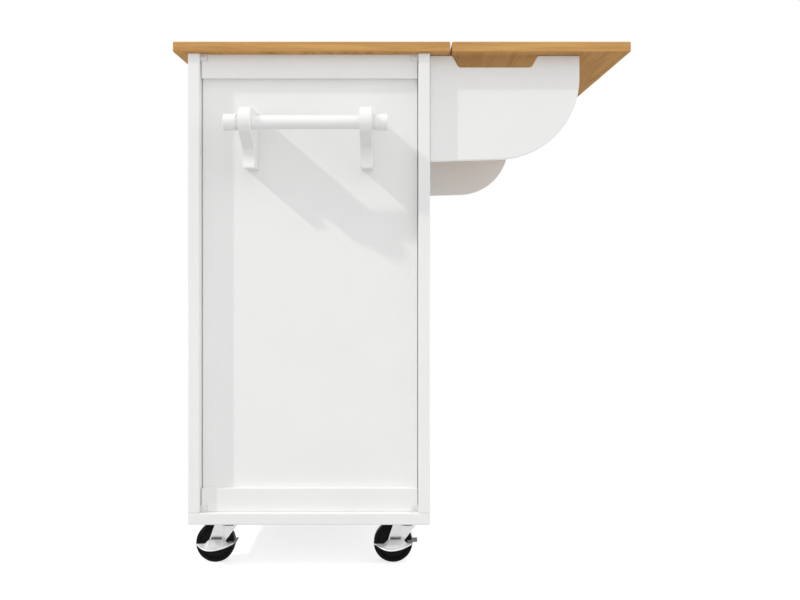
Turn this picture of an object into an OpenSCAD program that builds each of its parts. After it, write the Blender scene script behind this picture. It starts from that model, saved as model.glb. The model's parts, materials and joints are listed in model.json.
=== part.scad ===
// Rolling kitchen island: a wooden worktop with a raised drop leaf, a white cabinet
// with drawers and doors, a towel bar on one end, and four braked casters.
// X runs along the length and the towel bar is on the +X end. The front faces -Y and
// the drop leaf is at +Y. Z is up and the floor is z = 0.

/* [Worktop] */
// Height of the worktop's top above the floor
overall_h = 904; // [860:1:950]
// Length of the worktop and of the drop leaf
top_l = 1120; // [1000:5:1400]
// Depth of the fixed worktop, front to back
top_d = 473.5; // [450:0.5:560]
// Thickness of the worktop and of the drop leaf
top_t = 18; // [15:1:30]
// Rounding of the worktop's edges
top_edge_r = 2.5; // [1:0.5:6]
// How far the worktop stands out past each end of the cabinet
end_overhang = 8; // [4:1:40]
// How far the worktop stands out past the front of the cabinet
front_overhang = 24; // [10:0.5:40]
// How far the worktop stands out past the back of the cabinet
back_overhang = 34.5; // [30:0.5:60]

/* [Drop leaf] */
// Depth of the drop leaf, from the joint to its free edge
leaf_d = 305; // [270:5:400]
// Gap between the worktop and the raised leaf
leaf_gap = 3; // [2.5:0.5:5]

/* [Cabinet] */
// Thickness of the base board
base_t = 20; // [16:1:30]
// Thickness of the four corner posts, seen from the end
post_t = 20; // [18:1:30]
// Width of the front posts, seen from the front
front_post_w = 36; // [30:1:60]
// Width of the rear posts, seen from the back
rear_post_w = 64; // [60:1:100]
// Rounding of the posts' upright edges
post_edge_r = 1.5; // [0.5:0.5:4]
// How far the end panel lies behind the end face
end_panel_inset = 21; // [16:0.5:26]
// How far the end rails lie behind the end face
end_rail_inset = 11; // [9:0.5:15]
// Height of the top rail on each end
end_top_rail_h = 41.5; // [30:0.5:80]
// Height of the bottom rail on each end
end_bottom_rail_h = 40; // [25:0.5:80]
// Side of the small square corner connectors
connector_s = 12; // [8:0.5:16]
// How far a corner connector stands out from its rail
connector_out = 3; // [2:0.5:8]
// Thickness of the partition between the two bays
partition_t = 16; // [12:1:30]
// Width of the front centre post
centre_post_w = 36; // [32:1:60]
// Thickness of the back panel
back_panel_t = 5; // [3:0.5:9]
// Height of the rear top and bottom rails
rear_rail_h = 60; // [40:1:100]
// Width of the rear centre mullion
mullion_w = 60; // [40:1:100]
// Height of the shelves above the base board
shelf_up = 300; // [200:5:420]
// Thickness of the shelves
shelf_t = 15; // [12:1:25]
// Gap between a shelf and the walls beside it
shelf_gap = 0.5; // [0.3:0.1:2]
// Radius of the shelf pins
shelf_pin_r = 2.5; // [2:0.5:4]
// How far a shelf pin stands out of its wall
shelf_pin_out = 9; // [6:0.5:14]

/* [Doors and drawers] */
// Height of the front top rail
front_top_rail_h = 28; // [20:1:60]
// Height of the rails between the drawers and the doors
mid_rail_h = 24; // [16:1:50]
// Height of the drawer openings
drawer_opening_h = 140; // [120:1:200]
// Thickness of the doors and the drawer fronts
front_t = 18; // [15:1:19]
// Gap all round a door or a drawer front
front_gap = 2; // [1.5:0.5:4]
// Width of the frame round a door's recessed field
door_frame_w = 62; // [45:1:90]
// Width of the frame round a drawer front's recessed field
drawer_frame_w = 34; // [20:1:45]
// Depth of the recessed fields
field_recess = 5; // [3:0.5:8]
// Space between a closed drawer box and the back panel
drawer_back_space = 42; // [25:1:80]
// Height of the drawer sides
drawer_side_h = 95; // [80:1:115]
// Thickness of the drawer sides and backs
drawer_side_t = 12; // [9:1:16]
// Thickness of the drawer bottoms
drawer_bottom_t = 5; // [3:0.5:8]
// Glue line between the boards of a drawer box
glue_gap = 0.1; // [0.05:0.05:0.2]
// Space on each side of a drawer box for its runners
runner_space = 13; // [12.5:0.5:16]
// Height of the fixed runner channels
runner_h = 35; // [30:1:45]
// Thickness of the runners' steel
runner_t = 1.5; // [1:0.1:2]
// Running gap between a slide and its channel
runner_gap = 0.4; // [0.3:0.05:0.6]
// Diameter of the knobs
knob_d = 28; // [24:1:40]
// How far a knob stands out
knob_out = 21; // [16:0.5:22]

/* [Hinges] */
// Thickness of the hinge plates
hinge_t = 1.2; // [1:0.1:1.5]
// Radius of the hinge knuckles
knuckle_r = 3; // [2.8:0.1:3.2]
// Radius of the hinge pins
hinge_pin_r = 1.5; // [1.2:0.1:1.8]
// Running clearance round a pin, on the radius
pin_clearance = 0.05; // [0.02:0.01:0.1]
// Gap between a knuckle and the faces beside it
knuckle_gap = 0.5; // [0.4:0.05:0.6]
// End gap between two knuckles
knuckle_end_gap = 0.4; // [0.3:0.05:0.8]
// Height of a door hinge
door_hinge_h = 60; // [45:1:80]
// Width of a door hinge's plates
door_hinge_w = 20; // [14:1:28]
// Distance from a door's end to the middle of its hinge
door_hinge_in = 80; // [60:1:120]
// Length of a leaf hinge
leaf_hinge_l = 50; // [36:1:54]
// Width of a leaf hinge's plates
leaf_hinge_w = 28; // [22:1:32]
// Distance from the worktop's end to the middle of a leaf hinge
leaf_hinge_in = 160; // [118:1:170]
// Height of a support hinge
support_hinge_h = 55; // [45:1:70]
// Width of a support hinge's plates
support_hinge_w = 22; // [16:1:26]

/* [Leaf supports] */
// How far a support lies behind the end face
support_inset = 18.5; // [12:0.5:24]
// Thickness of a support
support_t = 15; // [12:1:18]
// How far a support reaches out from the back of the cabinet
support_reach = 259.5; // [240:0.5:300]
// Height of a support where it meets the cabinet
support_h = 183; // [170:0.5:230]
// Rise of a support's lower edge from the cabinet to its round corner
support_rise = 3.5; // [0:0.5:10]
// Radius of a support's round lower corner
support_corner_r = 140; // [100:1:150]
// Gap between a support's top edge and the leaf's underside
support_top_gap = 0.6; // [0.3:0.1:0.9]
// Gap between a support's upright edge and the cabinet's back
support_back_gap = 0.8; // [0.5:0.1:2]
// Depth of the notch in a support's top edge
notch_depth = 20.5; // [12:0.5:30]
// Distance from the cabinet's back to the start of the notch
notch_start = 39; // [34:0.5:39]
// Length of the notch at its open top
notch_l = 148.5; // [130:0.5:170]
// Sideways run of the notch's sloped ends
notch_slope = 11; // [5:0.5:13]
// Rounding of the notch's lower corners
notch_corner_r = 8; // [3:0.5:10]

/* [Towel bar] */
// Diameter of the towel bar
bar_d = 23; // [16:0.5:26]
// Distance from the worktop's top down to the bar's axis
bar_drop = 144; // [100:0.5:250]
// Distance from the end panel to the bar's axis
bar_out = 73; // [60:0.5:90]
// Distance between the middles of the two brackets
bracket_spacing = 199; // [150:1:240]
// Thickness of a bracket, along the bar
bracket_t = 20; // [14:0.5:26]
// Radius of a bracket's round nose
nose_r = 24; // [17:0.5:25]
// How far the nose's middle lies above the bar's axis
nose_rise = 1.5; // [0:0.1:3]
// How far a bracket's foot stands out from the panel
foot_out = 44.5; // [36:0.5:46]
// Distance from the nose's middle down to the bottom of the foot
foot_drop = 74.5; // [70:0.5:90]
// Radius of the hollow curve above the foot
cove_r = 24.5; // [18:0.5:26]
// Height of the foot's straight front, above its bottom
foot_h = 3; // [2:0.1:6]
// Diameter of the end caps
cap_d = 28; // [27:0.5:36]
// Length of an end cap
cap_l = 21.5; // [12:0.5:30]
// Length of bar that shows between a bracket and its cap
neck_l = 5; // [3:0.5:12]
// Clearance round the bar in the brackets, on the radius
bar_clearance = 0.1; // [0.05:0.05:0.3]
// Depth of the bar's end in its cap
bar_in_cap = 12; // [6:0.5:12]

/* [Casters] */
// Overall height of a caster, from the floor to the base board
caster_h = 77.5; // [77:0.5:90]
// Diameter of the wheels
wheel_d = 68; // [60:0.5:68]
// Width of the wheels' tread
wheel_w = 22; // [18:0.5:24]
// Horizontal distance from the swivel axis to the wheel's axle
trail = 19; // [14:0.5:20]
// Distance from the cabinet's front to the front swivel axes
caster_front_in = 58; // [55:0.5:80]
// Distance from the cabinet's back to the rear swivel axes
caster_back_in = 44.5; // [40:0.5:80]
// Distance from the cabinet's ends to the swivel axes
caster_end_in = 51; // [45:0.5:90]
// Length and width of the mounting plates
plate_s = 60; // [56:1:66]
// Thickness of the mounting plates
plate_t = 2.5; // [2:0.1:3]
// Distance between the mounting screws, both ways
plate_screw_spacing = 44; // [40:1:48]
// Width of a fork's leg at the top
fork_w = 39; // [34:0.5:42]
// Thickness of a fork's steel
fork_t = 2; // [1.5:0.1:2.5]
// Radius of the axle
axle_r = 3; // [2.5:0.1:4]
// Gap between a wheel's hub and the fork's legs
hub_gap = 0.4; // [0.3:0.1:0.8]
// Radius of the round brake pedal
pedal_r = 36; // [30:0.5:38]
// Slope of the brake pedal below the level
pedal_slope = 10; // [6:1:18]
// Thickness of the brake pedal
pedal_t = 1.8; // [1.5:0.1:2.2]

/* [Hidden] */
$fn = 64;
// Overlap of cutting shapes past the faces that they cut
cut = 1;
// Overlap that joins touching shapes of one piece
weld = 0.02;

// Overall layout along X. The towel bar stands out past the worktop on one end, so the
// worktop is shifted to keep the origin under the middle of the whole object.
cab_l = top_l - 2 * end_overhang;
nose_out = bar_out + nose_r - end_panel_inset - end_overhang;
x_mid = -nose_out / 2;
half_l = cab_l / 2;

// Overall layout along Y, with the origin midway between the worktop's front edge and
// the leaf's free edge
total_d = top_d + leaf_gap + leaf_d;
y_top_front = -total_d / 2;
y_top_back = y_top_front + top_d;
y_leaf = y_top_back + leaf_gap;
y_front = y_top_front + front_overhang;
y_back = y_top_back - back_overhang;
cab_d = y_back - y_front;
y_wall = y_front + post_t;
y_rear = y_back - post_t;
wall_d = y_rear - y_wall;

// Heights
z_base = caster_h;
z_floor = z_base + base_t;
z_under = overall_h - top_t;
post_h = z_under - z_floor;
z_drawer_top = z_under - front_top_rail_h;
z_drawer = z_drawer_top - drawer_opening_h;
z_door_top = z_drawer - mid_rail_h;

// Bays between the end panels and the partition
end_wall_t = front_post_w - end_panel_inset;
bay_out = half_l - front_post_w;
bay_in = centre_post_w / 2;
bay_w = bay_out - bay_in;
bay_mid = (bay_out + bay_in) / 2;
front_w = bay_w - 2 * front_gap;
door_h = z_door_top - z_floor - 2 * front_gap;
drawer_front_h = drawer_opening_h - 2 * front_gap;
// Block that brings the partition's runners level with the centre post
batten_t = bay_in - partition_t / 2;
batten_margin = 5;
batten_h = runner_h + 2 * batten_margin;

// Drawer boxes and their runners
box_up = 12;
bottom_up = 8;
runner_up = 45;
runner_start = 2;
runner_end_gap = 12;
runner_side_gap = 3;
slide_side_gap = 1;
slide_end_gap = 3;
box_w = bay_w - 2 * runner_space;
drawer_box_d = cab_d - front_t - drawer_back_space - back_panel_t - post_t;
box_y = y_front + front_t;
box_z = z_drawer + box_up;
runner_z = z_drawer + runner_up;
batten_l = wall_d - back_panel_t - runner_end_gap;
runner_l = batten_l - 2 * runner_start;
slide_h = runner_h - 2 * (runner_t + runner_gap);
slide_l = drawer_box_d - 2 * slide_end_gap;

// Shelves and catches
shelf_front_gap = 4;
shelf_back_gap = 1;
pin_front_in = 45;
pin_back_in = 50;
pin_gap = 0.1;
catch_gap = 0.3;
catch_reach = 26;
catch_d = 12;
catch_h = 18;
catch_drop = 40;

// Hinges. The axis lies this far in front of the face that the plates are screwed to.
hinge_axis_out = knuckle_r + knuckle_gap;
plate_margin = 0.8;
plate_start = knuckle_r + plate_margin;
door_hinge_z = [z_floor + front_gap + door_hinge_in, z_door_top - front_gap - door_hinge_in];

// Leaf supports
support_top = z_under - support_top_gap;
support_low = support_top - support_h;
x_support_in = half_l - support_inset - support_t;
x_support_pin = x_support_in - hinge_axis_out;
y_support_pin = y_back + hinge_axis_out;
support_hinge_in = 20;
support_hinge_z = [support_low + support_hinge_in,
                   support_top - support_hinge_in - support_hinge_h];

// Towel bar
x_panel = half_l - end_panel_inset;
x_bar = x_panel + bar_out;
bar_z = overall_h - bar_drop;
y_bar_mid = (y_front + y_back) / 2;
bracket_half = bracket_spacing / 2 + bracket_t / 2;
bar_half = bracket_half + neck_l + bar_in_cap;
// Slope of the bracket's underside between the nose and the cove
under_slope = 30.2;
// Direction from the cove's middle to the top of the foot's straight front
cove_angle = 27.7;
cove_x = foot_out + cove_r * cos(cove_angle);
cove_z = -foot_drop + foot_h + cove_r * sin(cove_angle);
// Rounding of the end caps
cap_edge_r = 1.5;

// Casters, measured from the swivel axis on the floor
wheel_r = wheel_d / 2;
hub_out = 1.5;
hub_half = wheel_w / 2 + hub_out;
hub_r = 10;
tread_r = 4;
rim_t = 7;
web_half = wheel_w / 2 - 4;
leg_in = hub_half + hub_gap;
leg_out = leg_in + fork_t;
plate_low = caster_h - plate_t;
race_r = 19;
race_t = 2.5;
race_gap = 0.5;
crown_top = plate_low - race_t - race_gap;
crown_low = crown_top - fork_t;
kingpin_r = 4;
kingpin_head_r = 7;
kingpin_head_t = 2.4;
leg_foot_r = 9;
leg_foot_back = 11.5;
leg_foot_front = 15;
leg_back_drop = 4;
leg_front_drop = 4.5;
plate_hole_r = 2.5;
plate_screw_head_r = 4;
plate_screw_head_t = 2;
axle_head_r = 5;
axle_head_t = 2;
pedal_pin_r = 1.5;
pedal_barrel_r = 2.8;
pedal_barrel_l = 18;
pedal_barrel_gap = 0.6;
pedal_up = 9;
pedal_lip = 2.3;
pedal_x = leg_out + pedal_barrel_r + pedal_barrel_gap;
pedal_z = wheel_r + pedal_up;
pedal_edge_x = pedal_x + pedal_lip;
pedal_drop = 6.5;
// Distance from the wheel's middle to the middle of the pedal's barrel
pedal_mid = 4.4;
pedal_w = 2 * pedal_r - 2;
// Distance from the pedal's straight edge back to the centre of its round outline
pedal_sag = sqrt(pedal_r * pedal_r - pedal_w * pedal_w / 4);
lug_t = 2.5;
lug_gap = 0.4;
lug_margin = 0.3;
tab_w = 10;
tab_h = 12.5;
tab_in = 3;

wood = [0.78, 0.58, 0.36];
white = [0.93, 0.93, 0.92];
steel = [0.75, 0.76, 0.78];
black = [0.08, 0.08, 0.08];

// Shared shapes

// Box given by its low corner and its size, with the low corner's X measured from the
// middle of the cabinet
module block(low, size) {
    translate([x_mid + low[0], low[1], low[2]])
        cube(size);
}

// The same box on the right when side is 1, and mirrored to the left when it is -1
module side_block(side, low, size) {
    on_side(side)
        translate(low)
            cube(size);
}

// Puts its children on the right or the left of the cabinet's middle
module on_side(side) {
    translate([x_mid, 0, 0])
        mirror([side < 0 ? 1 : 0, 0, 0])
            children();
}

// Rectangle with round corners, centred
module round_rect(w, h, r) {
    square([w - 2 * r, h], center = true);
    square([w, h - 2 * r], center = true);
    for (i = [-1, 1], j = [-1, 1])
        translate([i * (w / 2 - r), j * (h / 2 - r)])
            circle(r);
}

// Board lying flat with all its long edges rounded, low corner at the origin
module round_board(l, d, t, r) {
    translate([l / 2, d / 2, t / 2])
        intersection() {
            rotate([90, 0, 90])
                linear_extrude(l, center = true)
                    round_rect(d, t, r);
            rotate([90, 0, 0])
                linear_extrude(d, center = true)
                    round_rect(l, t, r);
        }
}

// Upright post with rounded edges, low corner at the origin
module round_post(w, d, h, r) {
    translate([w / 2, d / 2, 0])
        linear_extrude(h)
            round_rect(w, d, r);
}

// Board with a recessed field in its front face, centred on X, its front at y = 0
module framed_front(w, h, frame_w) {
    difference() {
        translate([-w / 2, 0, 0])
            cube([w, front_t, h]);
        translate([-w / 2 + frame_w, -cut, frame_w])
            cube([w - 2 * frame_w, field_recess + cut, h - 2 * frame_w]);
    }
}

// Round knob on a short neck, standing out along -Y from the origin
module knob(out) {
    head_r = knob_d / 2;
    foot_r = head_r * 0.6;
    foot_h = 2.5;
    neck_r = head_r * 0.45;
    rim_r = 3;
    rim_x = head_r - rim_r;
    rim_z = out - 9;
    rotate([90, 0, 0])
        rotate_extrude()
            union() {
                square([foot_r, foot_h]);
                square([neck_r, rim_z]);
                intersection() {
                    translate([0, out - head_r])
                        circle(head_r);
                    translate([0, rim_z])
                        square([head_r, out - rim_z]);
                }
                translate([rim_x, rim_z])
                    circle(rim_r);
                translate([0, rim_z - rim_r])
                    square([rim_x, 2 * rim_r]);
            }
}

// One leaf of a butt hinge. The pin's axis is the Z axis from 0 to h, and the plate lies
// against the plane y = hinge_axis_out and runs along +X. The knuckles are at the ends
// of the fixed leaf, which holds the pin, and in the middle of the moving one.
module hinge_leaf(h, w, fixed) {
    third = h / 3;
    half_gap = knuckle_end_gap / 2;
    spans = fixed ? [[0, third - half_gap], [2 * third + half_gap, h]]
                  : [[third + half_gap, 2 * third - half_gap]];
    translate([plate_start, hinge_axis_out - hinge_t, 0])
        cube([w - plate_start, hinge_t, h]);
    for (s = spans)
        translate([0, 0, s[0]])
            difference() {
                union() {
                    cylinder(r = knuckle_r, h = s[1] - s[0]);
                    translate([0, hinge_axis_out - hinge_t, 0])
                        cube([plate_start, hinge_t, s[1] - s[0]]);
                }
                if (!fixed)
                    translate([0, 0, -cut])
                        cylinder(r = hinge_pin_r + pin_clearance, h = s[1] - s[0] + 2 * cut);
            }
    if (fixed)
        cylinder(r = hinge_pin_r, h = h);
}

// Worktop and cabinet

module worktop() {
    color(wood)
        translate([x_mid - top_l / 2, y_top_front, z_under])
            round_board(top_l, top_d, top_t, top_edge_r);
}

module base_board() {
    color(white)
        translate([x_mid - half_l, y_front, z_base])
            round_board(cab_l, cab_d, base_t, post_edge_r);
}

module end_panel(side) {
    color(white)
        side_block(side, [bay_out, y_wall, z_floor], [end_wall_t, wall_d, post_h]);
}

// Top and bottom rails laid over the end panel between the posts
module end_rails(side) {
    rail_t = end_panel_inset - end_rail_inset;
    color(white)
        for (r = [[z_floor, end_bottom_rail_h], [z_under - end_top_rail_h, end_top_rail_h]])
            side_block(side, [x_panel, y_wall, r[0]], [rail_t, wall_d, r[1]]);
}

module corner_connectors() {
    color(white)
        for (side = [-1, 1],
             y = [y_wall, y_rear - connector_s],
             z = [z_floor, z_under - connector_s])
            side_block(side, [half_l - end_rail_inset, y, z],
                       [connector_out, connector_s, connector_s]);
}

module front_post(side) {
    color(white)
        on_side(side)
            translate([bay_out, y_front, z_floor])
                round_post(front_post_w, post_t, post_h, post_edge_r);
}

module front_centre_post() {
    color(white)
        block([-bay_in, y_front, z_floor], [centre_post_w, post_t, z_drawer_top - z_floor]);
}

// The top rail and the two rails between the drawers and the doors
module front_rails() {
    color(white) {
        block([-bay_out, y_front, z_drawer_top], [2 * bay_out, post_t, front_top_rail_h]);
        for (side = [-1, 1])
            side_block(side, [bay_in, y_front, z_door_top], [bay_w, post_t, mid_rail_h]);
    }
}

module rear_post(side) {
    color(white)
        on_side(side)
            translate([half_l - rear_post_w, y_rear, z_floor])
                round_post(rear_post_w, post_t, post_h, post_edge_r);
}

// The top and bottom rails between the rear posts, and the mullion between the rails
module rear_rails() {
    rail_l = 2 * (half_l - rear_post_w);
    color(white) {
        for (z = [z_floor, z_under - rear_rail_h])
            block([-rail_l / 2, y_rear, z], [rail_l, post_t, rear_rail_h]);
        block([-mullion_w / 2, y_rear, z_floor + rear_rail_h + glue_gap],
              [mullion_w, post_t, post_h - 2 * (rear_rail_h + glue_gap)]);
    }
}

module back_panel() {
    color(white)
        block([-bay_out, y_rear - back_panel_t, z_floor],
              [2 * bay_out, back_panel_t, post_h]);
}

// The partition with the battens that carry the inner drawer runners
module partition() {
    color(white) {
        block([-partition_t / 2, y_wall, z_floor],
              [partition_t, wall_d - back_panel_t, z_drawer_top - z_floor]);
        for (side = [-1, 1])
            side_block(side, [partition_t / 2 - weld, y_wall, runner_z - batten_h / 2],
                       [batten_t + weld, batten_l, batten_h]);
    }
}

module shelves() {
    shelf_in = partition_t / 2 + shelf_gap;
    shelf_d = wall_d - back_panel_t - shelf_front_gap - shelf_back_gap;
    color(white)
        for (side = [-1, 1])
            side_block(side, [shelf_in, y_wall + shelf_front_gap, z_floor + shelf_up],
                       [bay_out - shelf_gap - shelf_in, shelf_d, shelf_t]);
}

module shelf_pins() {
    pin_z = z_floor + shelf_up - shelf_pin_r - pin_gap;
    color(steel)
        for (side = [-1, 1], y = [y_wall + pin_front_in, y_rear - pin_back_in])
            on_side(side) {
                translate([bay_out - shelf_pin_out, y, pin_z])
                    rotate([0, 90, 0])
                        cylinder(r = shelf_pin_r, h = shelf_pin_out);
                translate([partition_t / 2, y, pin_z])
                    rotate([0, 90, 0])
                        cylinder(r = shelf_pin_r, h = shelf_pin_out);
            }
}

// Channel open towards +X, with its back against the plane x = 0
module channel(out, h, l) {
    rotate([90, 0, 180])
        mirror([1, 0, 0])
            linear_extrude(l)
                difference() {
                    translate([0, -h / 2])
                        square([out, h]);
                    translate([runner_t, -h / 2 + runner_t])
                        square([out, h - 2 * runner_t]);
                }
}

module drawer_runners() {
    out = runner_space - runner_side_gap;
    color(steel)
        for (side = [-1, 1])
            on_side(side) {
                translate([bay_in, y_wall + runner_start, runner_z])
                    channel(out, runner_h, runner_l);
                translate([bay_out, y_wall + runner_start, runner_z])
                    mirror([1, 0, 0])
                        channel(out, runner_h, runner_l);
            }
}

// Catches on the partition, with a nose beside the centre post that stops the door
module door_catches() {
    nose_d = post_t - front_t - catch_gap;
    catch_z = z_door_top - catch_drop;
    color(white)
        for (side = [-1, 1]) {
            side_block(side, [partition_t / 2, y_wall, catch_z],
                       [batten_t + catch_reach, catch_d, catch_h]);
            side_block(side, [bay_in, y_wall - nose_d, catch_z],
                       [catch_reach, nose_d + weld, catch_h]);
        }
}

// Towel bar

// Side outline of a bracket: out from the panel, and up from the nose's middle
module bracket_outline() {
    nose_low = [bar_out + nose_r * sin(under_slope), -nose_r * cos(under_slope)];
    cove_high = [cove_x - cove_r * sin(under_slope), cove_z + cove_r * cos(under_slope)];
    difference() {
        union() {
            polygon([
                [0, nose_r],
                [bar_out, nose_r],
                nose_low,
                cove_high,
                [foot_out, -foot_drop + foot_h],
                [foot_out, -foot_drop],
                [0, -foot_drop]
            ]);
            translate([bar_out, 0])
                circle(nose_r);
        }
        translate([cove_x, cove_z])
            circle(cove_r);
        translate([bar_out, -nose_rise])
            circle(bar_d / 2 + bar_clearance);
    }
}

module towel_brackets() {
    color(white)
        for (i = [-1, 1])
            translate([x_mid + x_panel, y_bar_mid + i * bracket_spacing / 2,
                       bar_z + nose_rise])
                rotate([90, 0, 0])
                    linear_extrude(bracket_t, center = true)
                        bracket_outline();
}

module towel_bar() {
    color(white)
        translate([x_mid + x_bar, y_bar_mid, bar_z])
            rotate([90, 0, 0])
                cylinder(d = bar_d, h = 2 * bar_half, center = true);
}

// Round caps on the bar's ends, hollow where the bar goes in
module towel_bar_caps() {
    color(white)
        for (i = [-1, 1])
            translate([x_mid + x_bar, y_bar_mid + i * (bracket_half + neck_l), bar_z])
                rotate([-90 * i, 0, 0])
                    rotate_extrude()
                        difference() {
                            union() {
                                square([cap_d / 2, cap_l - cap_edge_r]);
                                square([cap_d / 2 - cap_edge_r, cap_l]);
                                translate([cap_d / 2 - cap_edge_r, cap_l - cap_edge_r])
                                    circle(cap_edge_r);
                            }
                            translate([-cut, -cut])
                                square([bar_d / 2 + bar_clearance + cut,
                                        bar_in_cap + bar_clearance + cut]);
                        }
}

// Drop leaf and its supports

module drop_leaf() {
    color(wood)
        translate([x_mid - top_l / 2, y_leaf, z_under])
            round_board(top_l, leaf_d, top_t, top_edge_r);
}

leaf_hinge_x = [-top_l / 2 + leaf_hinge_in, 0, top_l / 2 - leaf_hinge_in];

// Leaf hinges lie under the joint, with their pins along X
module on_leaf_hinges() {
    for (x = leaf_hinge_x)
        translate([x_mid + x - leaf_hinge_l / 2, y_top_back + leaf_gap / 2,
                   z_under - hinge_axis_out])
            children();
}

module leaf_hinge_plates() {
    color(steel)
        on_leaf_hinges()
            rotate([90, 0, 90])
                mirror([1, 0, 0])
                    hinge_leaf(leaf_hinge_l, leaf_hinge_w, true);
}

module leaf_hinge_flaps() {
    color(steel)
        on_leaf_hinges()
            rotate([90, 0, 90])
                hinge_leaf(leaf_hinge_l, leaf_hinge_w, false);
}

// Outline of the notch, from the middle of its open top
module notch_outline() {
    angle = atan2(notch_depth, notch_slope);
    run = notch_corner_r * tan(angle / 2);
    low = notch_l / 2 - notch_slope;
    polygon([
        [-notch_l / 2, cut],
        [-notch_l / 2, 0],
        [-low - run * cos(angle), -notch_depth + run * sin(angle)],
        [-low + run, -notch_depth + notch_corner_r],
        [-low + run, -notch_depth],
        [low - run, -notch_depth],
        [low - run, -notch_depth + notch_corner_r],
        [low + run * cos(angle), -notch_depth + run * sin(angle)],
        [notch_l / 2, 0],
        [notch_l / 2, cut]
    ]);
    for (i = [-1, 1])
        translate([i * (low - run), -notch_depth + notch_corner_r])
            circle(notch_corner_r);
}

// Support seen from the end: out from the cabinet's back, and up from its lowest point
module support_outline() {
    arc = [support_reach - support_corner_r, support_rise + support_corner_r];
    difference() {
        union() {
            polygon([
                [support_back_gap, 0],
                [arc[0], support_rise],
                [support_reach, arc[1]],
                [support_reach, support_h],
                [support_back_gap, support_h]
            ]);
            intersection() {
                translate(arc)
                    circle(support_corner_r);
                translate([arc[0], 0])
                    square([support_corner_r, arc[1]]);
            }
        }
        translate([notch_start + notch_l / 2, support_h])
            notch_outline();
    }
}

module support(side) {
    color(white)
        on_side(side)
            translate([x_support_in, y_back, support_low])
                rotate([90, 0, 90])
                    linear_extrude(support_t)
                        support_outline();
}

module on_support_hinges(side) {
    on_side(side)
        for (z = support_hinge_z)
            translate([x_support_pin, y_support_pin, z])
                children();
}

module support_hinge_plates() {
    color(steel)
        for (side = [-1, 1])
            on_support_hinges(side)
                rotate([0, 0, 180])
                    hinge_leaf(support_hinge_h, support_hinge_w, true);
}

module support_hinge_flap(side) {
    color(steel)
        on_support_hinges(side)
            rotate([0, 0, 90])
                mirror([0, 1, 0])
                    hinge_leaf(support_hinge_h, support_hinge_w, false);
}

// Doors

module door(side) {
    color(white)
        on_side(side)
            translate([bay_mid, y_front, z_floor + front_gap])
                framed_front(front_w, door_h, door_frame_w);
}

module door_knob(side) {
    color(steel)
        on_side(side)
            translate([bay_in + front_gap + door_frame_w / 2, y_front,
                       z_door_top - front_gap - 1.5 * door_frame_w])
                knob(knob_out);
}

module on_door_hinges(side) {
    on_side(side)
        for (z = door_hinge_z)
            translate([bay_out - front_gap / 2, y_front - hinge_axis_out,
                       z - door_hinge_h / 2])
                children();
}

module door_hinge_plates() {
    color(steel)
        for (side = [-1, 1])
            on_door_hinges(side)
                hinge_leaf(door_hinge_h, door_hinge_w, true);
}

module door_hinge_flaps(side) {
    color(steel)
        on_door_hinges(side)
            mirror([1, 0, 0])
                hinge_leaf(door_hinge_h, door_hinge_w, false);
}

// Drawers

module drawer_front(side) {
    color(white)
        on_side(side)
            translate([bay_mid, y_front, z_drawer + front_gap])
                framed_front(front_w, drawer_front_h, drawer_frame_w);
}

// Two sides, a back and a bottom, glued to each other and to the front
module drawer_box(side) {
    inner_w = box_w - 2 * drawer_side_t;
    bottom_z = box_z + bottom_up;
    color(white)
        on_side(side)
            translate([bay_mid, box_y, 0]) {
                for (i = [-1, 1])
                    translate([i * (box_w - drawer_side_t) / 2 - drawer_side_t / 2, 0, box_z])
                        cube([drawer_side_t, drawer_box_d, drawer_side_h]);
                translate([-inner_w / 2 + glue_gap, drawer_box_d - drawer_side_t,
                           bottom_z + drawer_bottom_t + glue_gap])
                    cube([inner_w - 2 * glue_gap, drawer_side_t,
                          drawer_side_h - bottom_up - drawer_bottom_t - glue_gap]);
                translate([-inner_w / 2 + glue_gap, 0, bottom_z])
                    cube([inner_w - 2 * glue_gap, drawer_box_d, drawer_bottom_t]);
            }
}

module drawer_knob(side) {
    color(steel)
        on_side(side)
            translate([bay_mid, y_front + field_recess, z_drawer + drawer_opening_h / 2])
                knob(knob_out + field_recess);
}

// Steel slides on the drawer's sides that run in the fixed channels
module drawer_slides(side) {
    out = runner_space - runner_t - slide_side_gap;
    color(steel)
        on_side(side)
            for (i = [-1, 1])
                translate([bay_mid + i * box_w / 2, box_y + slide_end_gap, runner_z])
                    mirror([i < 0 ? 1 : 0, 0, 0])
                        channel(out, slide_h, slide_l);
}

// Casters

// Puts a caster at its corner. The right casters' pedals face +X and their wheels trail
// towards the front, and the left ones are turned half round.
module at_caster(side, front) {
    y = front ? y_front + caster_front_in : y_back - caster_back_in;
    translate([x_mid + side * (half_l - caster_end_in), y, 0])
        rotate([0, 0, side > 0 ? 0 : 180])
            children();
}

module on_casters() {
    for (side = [-1, 1], front = [true, false])
        at_caster(side, front)
            children();
}

// Mounting plate, upper race and the kingpin with its riveted head
module caster_plates() {
    head_z = crown_low - race_gap - kingpin_head_t;
    color(steel)
        on_casters() {
            difference() {
                translate([-plate_s / 2, -plate_s / 2, plate_low])
                    cube([plate_s, plate_s, plate_t]);
                for (i = [-1, 1], j = [-1, 1])
                    translate([i * plate_screw_spacing / 2, j * plate_screw_spacing / 2,
                               plate_low - cut])
                        cylinder(r = plate_hole_r, h = plate_t + 2 * cut);
            }
            translate([0, 0, plate_low - race_t])
                cylinder(r = race_r, h = race_t);
            translate([0, 0, head_z]) {
                cylinder(r = kingpin_r, h = plate_low - head_z);
                cylinder(r = kingpin_head_r, h = kingpin_head_t);
            }
        }
}

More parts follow.
